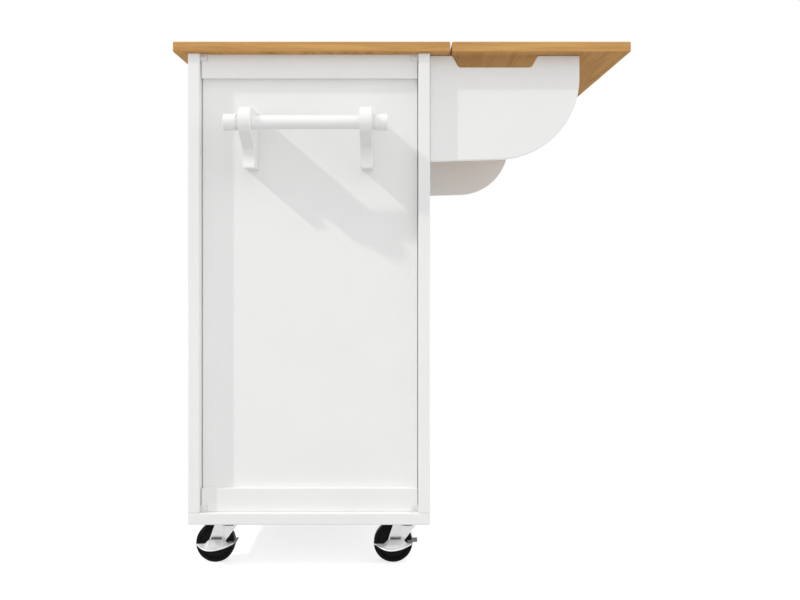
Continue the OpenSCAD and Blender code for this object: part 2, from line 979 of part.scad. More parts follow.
// Round-headed screws that hold the plates to the base board
module caster_screws() {
    color(steel)
        on_casters()
            for (i = [-1, 1], j = [-1, 1])
                translate([i * plate_screw_spacing / 2, j * plate_screw_spacing / 2,
                           plate_low - plate_screw_head_t])
                    cylinder(r = plate_screw_head_r, h = plate_screw_head_t);
}

// Side outline of a fork's leg: along Y from the swivel axis, and up from the floor
module leg_outline() {
    polygon([
        [-trail - leg_foot_back, wheel_r],
        [-fork_w / 2, crown_low - leg_back_drop],
        [-fork_w / 2, crown_top],
        [fork_w / 2, crown_top],
        [fork_w / 2, crown_low - leg_front_drop],
        [-trail + leg_foot_front, wheel_r],
        [-trail, wheel_r - leg_foot_r]
    ]);
    translate([-trail, wheel_r])
        circle(leg_foot_r);
}

// Fork with its crown, its two legs, the riveted axle, and the lugs and pin of the pedal
module caster_fork(side, front) {
    color(steel)
        at_caster(side, front) {
            difference() {
                union() {
                    for (i = [-1, 1])
                        translate([i * (leg_in + leg_out) / 2, 0, 0])
                            rotate([90, 0, 90])
                                linear_extrude(fork_t, center = true)
                                    leg_outline();
                    translate([-leg_out, -fork_w / 2, crown_low])
                        cube([2 * leg_out, fork_w, fork_t]);
                }
                translate([0, 0, crown_low - cut])
                    cylinder(r = kingpin_r + pin_clearance, h = fork_t + 2 * cut);
            }
            translate([-leg_out, -trail, wheel_r])
                rotate([0, 90, 0])
                    cylinder(r = axle_r, h = 2 * leg_out);
            for (i = [-1, 1])
                translate([i * (leg_out + axle_head_t / 2), -trail, wheel_r])
                    rotate([0, 90, 0])
                        cylinder(r = axle_head_r, h = axle_head_t + weld, center = true);
            pedal_lugs();
        }
}

// Two lugs on the outer leg, with the pin that the brake pedal turns on
module pedal_lugs() {
    lug_half = pedal_barrel_l / 2 + lug_gap;
    lug_h = 2 * pedal_barrel_r;
    for (i = [-1, 1])
        translate([leg_out - weld, pedal_mid - trail + i * (lug_half + lug_t / 2) - lug_t / 2,
                   pedal_z - lug_h / 2])
            cube([pedal_x + pedal_pin_r - leg_out + lug_margin, lug_t, lug_h]);
    translate([pedal_x, pedal_mid - trail, pedal_z])
        rotate([90, 0, 0])
            cylinder(r = pedal_pin_r, h = 2 * lug_half + 2 * lug_t, center = true);
}

// Wheel with a rounded tread, a dished side and a hub, bored for the axle
module caster_wheel(side, front) {
    color(black)
        at_caster(side, front)
            translate([0, -trail, wheel_r])
                rotate([0, 90, 0])
                    rotate_extrude()
                        difference() {
                            union() {
                                translate([wheel_r - rim_t, -wheel_w / 2])
                                    square([rim_t - tread_r, wheel_w]);
                                translate([wheel_r - tread_r - weld, -wheel_w / 2 + tread_r])
                                    square([tread_r + weld, wheel_w - 2 * tread_r]);
                                for (i = [-1, 1])
                                    translate([wheel_r - tread_r, i * (wheel_w / 2 - tread_r)])
                                        circle(tread_r);
                                translate([0, -web_half])
                                    square([wheel_r - rim_t + weld, 2 * web_half]);
                                translate([0, -hub_half])
                                    square([hub_r, 2 * hub_half]);
                            }
                            translate([-cut, -hub_half - cut])
                                square([axle_r + pin_clearance + cut, 2 * (hub_half + cut)]);
                        }
}

// Brake pedal: a half-round plate that slopes down and out from its barrel, with a
// turned-up tab at one end
module caster_brake(side, front) {
    color(steel)
        at_caster(side, front)
            translate([0, -trail, 0]) {
                difference() {
                    translate([pedal_x, pedal_mid, pedal_z])
                        rotate([90, 0, 0])
                            cylinder(r = pedal_barrel_r, h = pedal_barrel_l, center = true);
                    translate([pedal_x, pedal_mid, pedal_z])
                        rotate([90, 0, 0])
                            cylinder(r = pedal_pin_r + pin_clearance, h = pedal_barrel_l + 2 * cut,
                                     center = true);
                }
                translate([pedal_edge_x, pedal_mid - pedal_barrel_l / 2,
                           pedal_z - pedal_drop - pedal_t])
                    cube([pedal_t, pedal_barrel_l, pedal_drop + pedal_t]);
                translate([pedal_edge_x, 0, pedal_z - pedal_drop])
                    rotate([0, pedal_slope, 0])
                        intersection() {
                            translate([-pedal_sag, 0, -pedal_t])
                                cylinder(r = pedal_r, h = pedal_t);
                            translate([0, -pedal_w / 2, -pedal_t])
                                cube([pedal_r, pedal_w, pedal_t]);
                        }
                translate([pedal_edge_x, pedal_w / 2 - tab_in, pedal_z - pedal_drop - pedal_t])
                    cube([pedal_t, tab_w, tab_h]);
            }
}

worktop();
base_board();
end_panel(1);  // end_panel_right
end_panel(-1);  // end_panel_left
end_rails(1);  // end_rails_right
end_rails(-1);  // end_rails_left
corner_connectors();
front_post(1);  // front_post_right
front_post(-1);  // front_post_left
front_centre_post();
front_rails();
rear_post(1);  // rear_post_right
rear_post(-1);  // rear_post_left
rear_rails();
back_panel();
partition();
shelves();
shelf_pins();
drawer_runners();
door_catches();
towel_brackets();
towel_bar();
towel_bar_caps();
caster_plates();
caster_screws();
door_hinge_plates();
leaf_hinge_plates();
support_hinge_plates();
drop_leaf();
leaf_hinge_flaps();
support(1);  // support_right
support_hinge_flap(1);  // support_hinge_flap_right
support(-1);  // support_left
support_hinge_flap(-1);  // support_hinge_flap_left
door(1);  // door_right
door_knob(1);  // door_knob_right
door_hinge_flaps(1);  // door_hinge_flaps_right
door(-1);  // door_left
door_knob(-1);  // door_knob_left
door_hinge_flaps(-1);  // door_hinge_flaps_left
drawer_front(1);  // drawer_front_right
drawer_box(1);  // drawer_box_right
drawer_knob(1);  // drawer_knob_right
drawer_slides(1);  // drawer_slides_right
drawer_front(-1);  // drawer_front_left
drawer_box(-1);  // drawer_box_left
drawer_knob(-1);  // drawer_knob_left
drawer_slides(-1);  // drawer_slides_left
caster_fork(1, true);  // caster_fork_front_right
caster_wheel(1, true);  // caster_wheel_front_right
caster_brake(1, true);  // caster_brake_front_right
caster_fork(1, false);  // caster_fork_rear_right
caster_wheel(1, false);  // caster_wheel_rear_right
caster_brake(1, false);  // caster_brake_rear_right
caster_fork(-1, true);  // caster_fork_front_left
caster_wheel(-1, true);  // caster_wheel_front_left
caster_brake(-1, true);  // caster_brake_front_left
caster_fork(-1, false);  // caster_fork_rear_left
caster_wheel(-1, false);  // caster_wheel_rear_left
caster_brake(-1, false);  // caster_brake_rear_left
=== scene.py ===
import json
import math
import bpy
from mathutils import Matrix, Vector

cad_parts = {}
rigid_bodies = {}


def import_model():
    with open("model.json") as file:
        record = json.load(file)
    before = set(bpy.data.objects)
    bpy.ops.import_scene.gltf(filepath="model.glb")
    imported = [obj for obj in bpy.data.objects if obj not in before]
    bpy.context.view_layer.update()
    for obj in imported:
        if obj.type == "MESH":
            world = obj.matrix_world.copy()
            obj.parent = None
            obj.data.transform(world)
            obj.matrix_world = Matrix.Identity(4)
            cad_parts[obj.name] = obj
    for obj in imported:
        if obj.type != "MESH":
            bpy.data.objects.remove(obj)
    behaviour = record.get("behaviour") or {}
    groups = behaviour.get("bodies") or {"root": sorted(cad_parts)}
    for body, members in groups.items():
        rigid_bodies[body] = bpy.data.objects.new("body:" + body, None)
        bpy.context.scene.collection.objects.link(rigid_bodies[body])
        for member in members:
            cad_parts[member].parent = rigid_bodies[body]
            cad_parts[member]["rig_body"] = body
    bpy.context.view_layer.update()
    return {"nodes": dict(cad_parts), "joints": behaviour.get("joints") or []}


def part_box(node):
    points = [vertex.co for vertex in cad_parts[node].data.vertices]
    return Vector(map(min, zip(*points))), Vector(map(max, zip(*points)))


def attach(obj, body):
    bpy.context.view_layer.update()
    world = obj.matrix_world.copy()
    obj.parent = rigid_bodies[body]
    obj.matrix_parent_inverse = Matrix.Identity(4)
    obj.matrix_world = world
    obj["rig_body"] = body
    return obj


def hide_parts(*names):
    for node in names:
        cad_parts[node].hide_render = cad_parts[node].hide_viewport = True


bl_info = {
    "name": "Rolling kitchen island",
    "version": (1, 0, 0),
    "blender": (4, 5, 0),
    "location": "View3D > Sidebar > Island",
    "description": "Dresses the kitchen island's frame with rounded boards, metalwork and finishes",
    "category": "Object",
}

import bmesh
import bpy
from mathutils import Matrix, Vector

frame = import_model()
MATERIALS = {}


# Settings that a user would change

class IslandSizes(bpy.types.PropertyGroup):
    board_edge: bpy.props.FloatProperty(
        name="Board edge rounding",
        description="Rounding of the painted boards' edges",
        default=0.0011, min=0.0002, max=0.003, precision=4, unit="LENGTH")
    panel_gap: bpy.props.FloatProperty(
        name="Panel gap",
        description="Width of the shadow line between the end panels and the posts",
        default=0.001, min=0.0, max=0.0015, precision=4, unit="LENGTH")
    metal_edge: bpy.props.FloatProperty(
        name="Metal edge rounding",
        description="Rounding of the steel parts' edges",
        default=0.0003, min=0.0001, max=0.001, precision=4, unit="LENGTH")
    connector_screw: bpy.props.FloatProperty(
        name="Connector screw radius",
        description="Radius of the screw heads in the corner connectors",
        default=0.0034, min=0.002, max=0.005, precision=4, unit="LENGTH")
    hinge_screw: bpy.props.FloatProperty(
        name="Hinge screw radius",
        description="Radius of the screw heads in the hinge plates",
        default=0.003, min=0.002, max=0.004, precision=4, unit="LENGTH")
    pedal_hump: bpy.props.FloatProperty(
        name="Pedal hump height",
        description="Height of the hump pressed into each brake pedal",
        default=0.0072, min=0.002, max=0.009, precision=4, unit="LENGTH")
    sun_angle: bpy.props.FloatProperty(
        name="Key lamp angle",
        description="Apparent size of the key lamp, which softens the shadows",
        default=math.radians(1.6), min=0.0, max=0.3, subtype="ANGLE")


class IslandColours(bpy.types.PropertyGroup):
    oak_light: bpy.props.FloatVectorProperty(
        name="Oak, light", description="Lightest tone of the wood",
        subtype="COLOR", size=3, default=(0.680, 0.385, 0.130))
    oak_mid: bpy.props.FloatVectorProperty(
        name="Oak, middle", description="Main tone of the wood",
        subtype="COLOR", size=3, default=(0.560, 0.285, 0.086))
    oak_dark: bpy.props.FloatVectorProperty(
        name="Oak, dark", description="Tone of the wood's grain lines",
        subtype="COLOR", size=3, default=(0.375, 0.168, 0.046))
    white_paint: bpy.props.FloatVectorProperty(
        name="White paint", description="Satin paint of the boards",
        subtype="COLOR", size=3, default=(0.884, 0.882, 0.872))
    white_plastic: bpy.props.FloatVectorProperty(
        name="White plastic", description="Connectors and catches",
        subtype="COLOR", size=3, default=(0.780, 0.776, 0.768))
    zinc: bpy.props.FloatVectorProperty(
        name="Zinc", description="Plated steel of the casters, hinges and runners",
        subtype="COLOR", size=3, default=(0.790, 0.792, 0.795))
    nickel: bpy.props.FloatVectorProperty(
        name="Nickel", description="Satin metal of the knobs",
        subtype="COLOR", size=3, default=(0.620, 0.600, 0.570))
    # This dark colour is painted shade. It darkens the pedals' barrels, strips and tabs and the
    # strips on the forks, which sit in shade under the base board.
    shade_painted_steel: bpy.props.FloatVectorProperty(
        name="Dark steel", description="Steel painted dark as shade on the pedals and forks",
        subtype="COLOR", size=3, default=(0.150, 0.150, 0.154))
    tyre: bpy.props.FloatVectorProperty(
        name="Tyre black", description="Moulded black of the wheels",
        subtype="COLOR", size=3, default=(0.0044, 0.0044, 0.0048))


def sizes():
    return bpy.context.scene.island_sizes


def colours():
    return bpy.context.scene.island_colours


# Material building

GRAIN_STRETCH = 0.055
END_FACES = (0.68, 0.72)
UNDER_FACES = (-0.3, -0.9)
PAINT_SHADE = 0.975
STAIN_SHADE = 0.95
DUST_TINT = 2.1


def node(tree, kind, inputs=None, **settings):
    """Adds a shader node, with its settings and the values of its inputs."""
    made = tree.nodes.new(kind)
    for name, value in settings.items():
        setattr(made, name, value)
    for name, value in (inputs or {}).items():
        made.inputs[name].default_value = value
    return made


def fresh_material(name):
    """Starts a material with a shader, and returns its tree, shader and object coordinates."""
    material = bpy.data.materials.new(name)
    material.use_nodes = True
    tree = material.node_tree
    shader = tree.nodes["Principled BSDF"]
    coordinates = node(tree, "ShaderNodeTexCoord")
    MATERIALS[name] = material
    return tree, shader, coordinates.outputs["Object"]


def stretched(tree, vector, scale, turn=0.0):
    """Coordinates multiplied by a scale on each axis, and then turned about Z by an angle."""
    mapping = node(tree, "ShaderNodeMapping", {
        "Rotation": (0.0, 0.0, math.radians(turn)), "Scale": scale})
    tree.links.new(vector, mapping.inputs["Vector"])
    return mapping.outputs["Vector"]


def noise(tree, vector, scale, detail=4.0, roughness=0.55, distortion=0.0):
    made = node(tree, "ShaderNodeTexNoise", {
        "Scale": scale, "Detail": detail, "Roughness": roughness, "Distortion": distortion})
    tree.links.new(vector, made.inputs["Vector"])
    return made.outputs["Fac"]


def ramp(tree, factor, stops):
    """A colour ramp over a factor, from (place, colour) stops."""
    made = node(tree, "ShaderNodeValToRGB")
    elements = made.color_ramp.elements
    while len(elements) < len(stops):
        elements.new(0.5)
    for element, (place, colour) in zip(elements, stops):
        element.position = place
        element.color = (*colour, 1.0)
    tree.links.new(factor, made.inputs["Fac"])
    return made.outputs["Color"]


def span(tree, value, low, high, to_low, to_high):
    made = node(tree, "ShaderNodeMapRange", {
        "From Min": low, "From Max": high, "To Min": to_low, "To Max": to_high})
    tree.links.new(value, made.inputs["Value"])
    return made.outputs["Result"]


def blended(tree, factor, first, second):
    """Mixes two colours by a factor. Each colour is an output or a plain one."""
    made = node(tree, "ShaderNodeMix", data_type="RGBA")
    tree.links.new(factor, made.inputs[0])
    for socket, value in ((made.inputs[6], first), (made.inputs[7], second)):
        if isinstance(value, bpy.types.NodeSocket):
            tree.links.new(value, socket)
        else:
            socket.default_value = (*value, 1.0)
    return made.outputs[2]


def bump(tree, shader, height, distance, strength):
    made = node(tree, "ShaderNodeBump", {"Strength": strength, "Distance": distance})
    tree.links.new(height, made.inputs["Height"])
    tree.links.new(made.outputs["Normal"], shader.inputs["Normal"])


def plain_rays(tree):
    """1 for the rays that show the white ground: those of the camera, in metal and in glass."""
    rays = node(tree, "ShaderNodeLightPath")
    shown = rays.outputs["Is Camera Ray"]
    for other in ("Is Glossy Ray", "Is Transmission Ray"):
        either = node(tree, "ShaderNodeMath", operation="MAXIMUM")
        tree.links.new(shown, either.inputs[0])
        tree.links.new(rays.outputs[other], either.inputs[1])
        shown = either.outputs[0]
    return shown


def board_faces(tree, coordinates):
    """Two factors: 1 on faces that look along X, such as a board's ends, and 1 on undersides."""
    split = node(tree, "ShaderNodeSeparateXYZ")
    tree.links.new(coordinates.node.outputs["Normal"], split.inputs["Vector"])
    size = node(tree, "ShaderNodeMath", operation="ABSOLUTE")
    tree.links.new(split.outputs["X"], size.inputs[0])
    ends = span(tree, size.outputs[0], *END_FACES, 0.0, 1.0)
    return ends, span(tree, split.outputs["Z"], *UNDER_FACES, 0.0, 1.0)


def oak():
    """Oak with long grain, growth lines and pores. The grain turns along Y on the banded ends,
    and the unfinished underside is matt."""
    tree, shader, place = fresh_material("honey oak")
    ends, under = board_faces(tree, place)
    pick = node(tree, "ShaderNodeMix", data_type="VECTOR")
    tree.links.new(ends, pick.inputs[0])
    tree.links.new(stretched(tree, place, (GRAIN_STRETCH, 1.0, 1.0)), pick.inputs[4])
    tree.links.new(stretched(tree, place, (1.0, GRAIN_STRETCH, 1.0), 90.0), pick.inputs[5])
    grain = pick.outputs[1]
    broad = noise(tree, grain, 9.0, detail=3.0, roughness=0.5, distortion=0.6)
    lines = noise(tree, grain, 46.0, detail=6.0, roughness=0.62, distortion=1.1)
    shorter = stretched(tree, grain, (0.5, 1.0, 1.0))
    fine = noise(tree, shorter, 420.0, detail=3.0, roughness=0.6)
    dotted = stretched(tree, grain, (0.9, 1.0, 1.0))
    pores = noise(tree, dotted, 900.0, detail=2.0, roughness=0.5)
    light, mid, dark = colours().oak_light, colours().oak_mid, colours().oak_dark
    base = ramp(tree, broad, ((0.30, mid), (0.70, light)))
    streaks = span(tree, lines, 0.44, 0.66, 0.0, 0.62)
    colour = blended(tree, streaks, base, dark)
    colour = blended(tree, span(tree, fine, 0.45, 0.75, 0.0, 0.30), colour, dark)
    colour = blended(tree, span(tree, pores, 0.60, 0.72, 0.0, 0.35), colour, dark)
    tree.links.new(colour, shader.inputs["Base Color"])
    satin = span(tree, lines, 0.3, 0.7, 0.42, 0.52)
    tree.links.new(blended(tree, under, satin, (0.85, 0.85, 0.85)), shader.inputs["Roughness"])
    shader.inputs["Specular IOR Level"].default_value = 0.25
    bump(tree, shader, pores, distance=0.00012, strength=0.35)


def painted(name, colour, roughness, peel):
    """Paint or moulding with a faint unevenness of tone, gloss and surface."""
    tree, shader, place = fresh_material(name)
    cloudy = noise(tree, place, 7.0, detail=3.0)
    shade = tuple(part * PAINT_SHADE for part in colour)
    tree.links.new(ramp(tree, cloudy, ((0.35, shade), (0.65, tuple(colour)))),
                   shader.inputs["Base Color"])
    patchy = noise(tree, place, 60.0, detail=3.0)
    tree.links.new(span(tree, patchy, 0.3, 0.7, roughness - 0.04, roughness + 0.05),
                   shader.inputs["Roughness"])
    bump(tree, shader, noise(tree, place, 700.0, detail=2.0), distance=peel, strength=0.12)


def metal(name, colour, metallic, roughness, brushing):
    """Metal with fine brushing along one axis and slight stains in the plating."""
    tree, shader, place = fresh_material(name)
    shader.inputs["Metallic"].default_value = metallic
    stains = noise(tree, place, 60.0, detail=2.0)
    shade = tuple(part * STAIN_SHADE for part in colour)
    tree.links.new(ramp(tree, stains, ((0.3, shade), (0.6, tuple(colour)))),
                   shader.inputs["Base Color"])
    scratches = noise(tree, stretched(tree, place, brushing), 900.0, detail=3.0)
    tree.links.new(span(tree, scratches, 0.3, 0.7, roughness - 0.05, roughness + 0.09),
                   shader.inputs["Roughness"])
    bump(tree, shader, scratches, distance=0.00002, strength=0.15)


def moulded_tyre():
    """Black moulding with a fine pebbled surface and faint dust."""
    tree, shader, place = fresh_material("tyre black")
    tone = noise(tree, place, 120.0, detail=5.0)
    black = tuple(colours().tyre)
    dusty = tuple(part * DUST_TINT for part in black)
    tree.links.new(ramp(tree, tone, ((0.35, black), (0.75, dusty))), shader.inputs["Base Color"])
    tree.links.new(span(tree, tone, 0.3, 0.7, 0.34, 0.50), shader.inputs["Roughness"])
    shader.inputs["Specular IOR Level"].default_value = 0.08
    bump(tree, shader, noise(tree, place, 1500.0, detail=3.0), distance=0.00006, strength=0.35)


def make_materials():
    tones = colours()
    oak()
    painted("white paint", tones.white_paint, 0.36, 0.00006)
    painted("white plastic", tones.white_plastic, 0.44, 0.00005)
    metal("zinc steel", tones.zinc, 0.45, 0.36, (1.0, 1.0, 0.12))
    metal("pressed zinc", tones.zinc, 0.25, 0.40, (1.0, 1.0, 0.3))
    # The pedals' rims use the zinc painted lighter: a painted highlight.
    metal("zinc painted with a highlight", tuple(1.2 * part for part in tones.zinc), 0.45, 0.30, (1.0, 1.0, 0.3))
    metal("satin nickel", tones.nickel, 1.0, 0.28, (1.0, 0.2, 1.0))
    # The dark steel is painted shade, not a blackened finish.
    metal("steel painted dark as shade", tones.shade_painted_steel, 0.6, 0.42, (1.0, 1.0, 0.3))
    moulded_tyre()


# Piece building

JOIN_DISTANCE = 0.00001
SPIN_JOIN_DISTANCE = 0.000002
FLAT_ANGLE = 0.6
SHARP_ANGLE = 35.0
SCREW_LINES = (-1.0, -0.62, -0.17, 0.17, 0.62, 1.0)
SCREW_SHOULDER = 0.82
SCREW_DOME = 0.45
CROSS_NEAR = 0.05
CROSS_FAR = 0.496


def merged_copy(name):
    """A bmesh of a node's mesh with its loose triangles joined and its flat faces whole."""
    bm = bmesh.new()
    bm.from_mesh(frame["nodes"][name].data)
    bmesh.ops.remove_doubles(bm, verts=bm.verts, dist=JOIN_DISTANCE)
    bmesh.ops.dissolve_limit(bm, angle_limit=math.radians(FLAT_ANGLE), verts=bm.verts,
                             edges=bm.edges, use_dissolve_boundaries=False)
    return bm


def object_of(name, bm):
    """Makes an object in the scene from a bmesh."""
    bm.normal_update()
    mesh = bpy.data.meshes.new(name)
    bm.to_mesh(mesh)
    bm.free()
    made = bpy.data.objects.new(name, mesh)
    bpy.context.scene.collection.objects.link(made)
    return made


def even_shading(made, angle):
    """Smooth shading up to an angle, in which the large faces keep their own direction."""
    mesh = made.data
    for face in mesh.polygons:
        face.use_smooth = True
    mesh.set_sharp_from_angle(angle=math.radians(angle))
    weighted = made.modifiers.new("even shading", "WEIGHTED_NORMAL")
    weighted.weight = 90
    weighted.keep_sharp = True


def add_piece(name, bm, body, material, stands_for=(), angle=50.0):
    """Makes an object from a bmesh, gives it its finish, and sets it on a body."""
    made = object_of(name, bm)
    made.data.materials.append(MATERIALS[material])
    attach(made, body)
    if stands_for:
        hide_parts(*stands_for)
    even_shading(made, angle)
    return made


def add_dressed(name, bm, material):
    """Makes a piece that stands for a node, on the node's body."""
    add_piece(name + "_dressed", bm, body_of_node(name), material, (name,))


def body_of_node(name):
    return frame["nodes"][name]["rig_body"]


def bevelled(bm, edges, width, segments):
    """Rounds some edges, and returns the new vertices."""
    return bmesh.ops.bevel(bm, geom=edges, offset=width, offset_type="OFFSET", segments=segments,
                           profile=0.5, affect="EDGES", material=-1, clamp_overlap=True)["verts"]


def round_edges(bm, width, segments):
    """Rounds the edges where two faces meet at a clear angle."""
    limit = math.radians(SHARP_ANGLE)
    edges = [e for e in bm.edges if len(e.link_faces) == 2 and e.calc_face_angle(0.0) > limit]
    if edges:
        bevelled(bm, edges, width, segments)


def softened(name, width, material, segments=2):
    """A copy of a node with its sharp edges rounded, which stands for the node."""
    bm = merged_copy(name)
    round_edges(bm, width, segments)
    add_dressed(name, bm, material)


def turned_to(direction, place):
    """Matrix that puts a shape made along +Z at a place, pointing along a direction."""
    turn = Vector(direction).to_track_quat("Z", "Y").to_matrix().to_4x4()
    return Matrix.Translation(Vector(place)) @ turn


def verts_among(made):
    """The vertices among the elements that an operator made."""
    return [g for g in made["geom"] if isinstance(g, bmesh.types.BMVert)]


def add_screw(bm, place, direction, radius, height, depth):
    """Round screw head with a cross recess, standing out along a direction."""
    last = len(SCREW_LINES) - 1
    grid = bmesh.ops.create_grid(bm, x_segments=last, y_segments=last, size=1.0)["verts"]
    for v in grid:
        across, up = (SCREW_LINES[round((part + 1.0) * last / 2.0)] for part in v.co.xy)
        flat = Vector((across, up, 0.0))
        if max(abs(across), abs(up)) > 0.9:
            flat.normalize()
        elif min(abs(across), abs(up)) > 0.5:
            flat *= SCREW_SHOULDER
        v.co = flat * radius
        v.co.z = height * (1.0 - SCREW_DOME * flat.length_squared)
    cross = []
    for f in dict.fromkeys(f for v in grid for f in v.link_faces):
        middle = f.calc_center_median()
        near, far = sorted((abs(middle.x), abs(middle.y)))
        if near < CROSS_NEAR * radius and far < CROSS_FAR * radius:
            cross.append(f)
    sunk = verts_among(bmesh.ops.extrude_face_region(bm, geom=cross))
    bmesh.ops.delete(bm, geom=cross, context="FACES_ONLY")
    bmesh.ops.translate(bm, verts=sunk, vec=(0.0, 0.0, -depth))
    rim = dict.fromkeys(e for v in grid if v.is_valid for e in v.link_edges if e.is_boundary)
    skirt = bmesh.ops.extrude_edge_only(bm, edges=list(rim))
    bottom = verts_among(skirt)
    for v in bottom:
        v.co.z = 0.0
    loop = [g for g in skirt["geom"] if isinstance(g, bmesh.types.BMEdge) and g.is_boundary]
    bmesh.ops.edgeloop_fill(bm, edges=loop)
    everything = [v for v in dict.fromkeys([*grid, *sunk, *bottom]) if v.is_valid]
    bmesh.ops.transform(bm, matrix=turned_to(direction, place), verts=everything)


def screw_set(name, body, places, direction, radius, height, depth):
    """One piece with a screw at each place."""
    bm = bmesh.new()
    for place in places:
        add_screw(bm, place, direction, radius, height, depth)
    bmesh.ops.recalc_face_normals(bm, faces=bm.faces)
    return add_piece(name, bm, body, "zinc steel", angle=40.0)


def linked_verts(start):
    """The given vertices, and all those that edges join to them."""
    found = list(dict.fromkeys(start))
    seen = set(found)
    for v in found:
        for e in v.link_edges:
            other = e.other_vert(v)
            if other not in seen:
                seen.add(other)
                found.append(other)
    return found


def loose_parts(bm):
    """Lowest and highest corners of each separate solid in a bmesh."""
    corners = []
    seen = set()
    for v in bm.verts:
        if v not in seen:
            part = linked_verts([v])
            seen.update(part)
            low = Vector([min(other.co[i] for other in part) for i in range(3)])
            high = Vector([max(other.co[i] for other in part) for i in range(3)])
            corners.append((low, high))
    return corners


def add_box(bm, low, high, width, segments):
    """Box between two corners, with all its edges rounded. Returns its vertices."""
    middle = (Vector(low) + Vector(high)) / 2.0
    size = Vector(high) - Vector(low)
    place = Matrix.Translation(middle) @ Matrix.Diagonal((*size, 1.0))
    cube = bmesh.ops.create_cube(bm, size=1.0, matrix=place)["verts"]
    edges = list(dict.fromkeys(e for v in cube for e in v.link_edges))
    return linked_verts(bevelled(bm, edges, min(width, 0.3 * min(size)), segments))


def solids_of(name):
    """Lowest and highest corners of each solid of a node."""
    source = merged_copy(name)
    parts = loose_parts(source)
    source.free()
    return parts


def boards(name, width, material, segments=3, side_gap=0.0):
    """Rounded boards in the places of a node's plain ones, which stand for the node. A side
    gap is the shadow line between a board's ends along Y and the posts beside them."""
    bm = bmesh.new()
    for low, high in solids_of(name):
        low.y += side_gap
        high.y -= side_gap
        add_box(bm, low, high, width, segments)
    add_dressed(name, bm, material)


def add_spun(bm, profile, steps, matrix):
    """Turned shape. The profile is a closed loop of (radius, height), and the axis is Z."""
    ring = [bm.verts.new((r, 0.0, h)) for r, h in profile]
    edges = [bm.edges.new((a, b)) for a, b in zip(ring, ring[1:] + ring[:1])]
    made = bmesh.ops.spin(bm, geom=ring + edges, cent=(0.0, 0.0, 0.0), axis=(0.0, 0.0, 1.0),
                          angle=math.tau, steps=steps, use_merge=True)
    last = [g for g in made["geom_last"] if isinstance(g, bmesh.types.BMVert)]
    verts = linked_verts(v for v in ring + last if v.is_valid)
    bmesh.ops.remove_doubles(bm, verts=verts, dist=SPIN_JOIN_DISTANCE)
    verts = [v for v in verts if v.is_valid]
    bmesh.ops.transform(bm, matrix=matrix, verts=verts)


def turned_piece(name, profile, steps, matrices, material):
    """Turned shapes at some places, in one piece that stands for a node."""
    bm = bmesh.new()
    for matrix in matrices:
        add_spun(bm, profile, steps, matrix)
    bmesh.ops.recalc_face_normals(bm, faces=bm.faces)
    add_piece(name + "_dressed", bm, body_of_node(name), material, (name,), 42.0)


def rounded_corner(centre_r, centre_h, radius, start, end, steps=5):
    """Points on an arc of a profile, from a start angle to an end angle in degrees."""
    points = []
    for i in range(steps + 1):
        angle = math.radians(start + (end - start) * i / steps)
        points.append((centre_r + radius * math.cos(angle), centre_h + radius * math.sin(angle)))
    return points


def joint(name):
    return next(j for j in frame["joints"] if j["name"] == name)


# The island's pieces. Three of the edges are shares of an edge among the settings.

SIDES = ((1.0, "right"), (-1.0, "left"))
WOOD_EDGE = 0.0025
FRAME_EDGE = 1.35
PANEL_EDGE = 0.8
HINGE_EDGE = 0.5
CONNECTOR_EDGE = 0.0008
CONNECTOR_SCREW_HEIGHT = 0.0008
CONNECTOR_SCREW_DEPTH = 0.0007
CATCH_EDGE = 0.001
PIN_EDGE = 0.0004
FIELD_RECESS = 0.005
FIELD_BAND = 0.0035
FIELD_STEP = 0.0012
FIELD_DROP = 0.0008
KNOB_ROUND = 0.0026
HINGE_SCREW_HEIGHT = 0.0004
HINGE_SCREW_DEPTH = 0.0003
SCREW_SEAT = 0.0012
DOOR_SCREW_REACH = 0.0122
DOOR_SCREW_SPREAD = 0.021
LEAF_SCREW_REACH = 0.016
LEAF_SCREW_SPREAD = 0.017
SUPPORT_SCREW_REACH = 0.013
SUPPORT_SCREW_SPREAD = 0.019
SUPPORT_FLAP_FACE = 0.0023
BRACKET_EDGE = 0.0009
CAP_EDGE = 0.0016
CAP_CHAMFER = 0.0008


class IslandOperator:
    """What all the operators share."""
    bl_options = {"REGISTER", "UNDO"}


class ISLAND_OT_wood(IslandOperator, bpy.types.Operator):
    """Makes the worktop and the drop leaf with rounded edges"""
    bl_idname = "island.wood"
    bl_label = "Worktop and drop leaf"

    def execute(self, context):
        boards("worktop", WOOD_EDGE, "honey oak", 4)
        boards("drop_leaf", WOOD_EDGE, "honey oak", 4)
        return {"FINISHED"}


class ISLAND_OT_cabinet(IslandOperator, bpy.types.Operator):
    """Makes the cabinet's painted boards with rounded edges"""
    bl_idname = "island.cabinet"
    bl_label = "Cabinet boards"

    def execute(self, context):
        edge = sizes().board_edge
        for name in ("base_board", "front_post_right", "front_post_left", "rear_post_right",
                     "rear_post_left"):
            boards(name, FRAME_EDGE * edge, "white paint")
        for name in ("end_panel_right", "end_panel_left", "end_rails_right", "end_rails_left"):
            boards(name, PANEL_EDGE * edge, "white paint", 3, sizes().panel_gap)
        for name in ("front_centre_post", "front_rails", "rear_rails", "back_panel", "shelves"):
            boards(name, edge, "white paint")
        softened("partition", edge, "white paint")
        return {"FINISHED"}


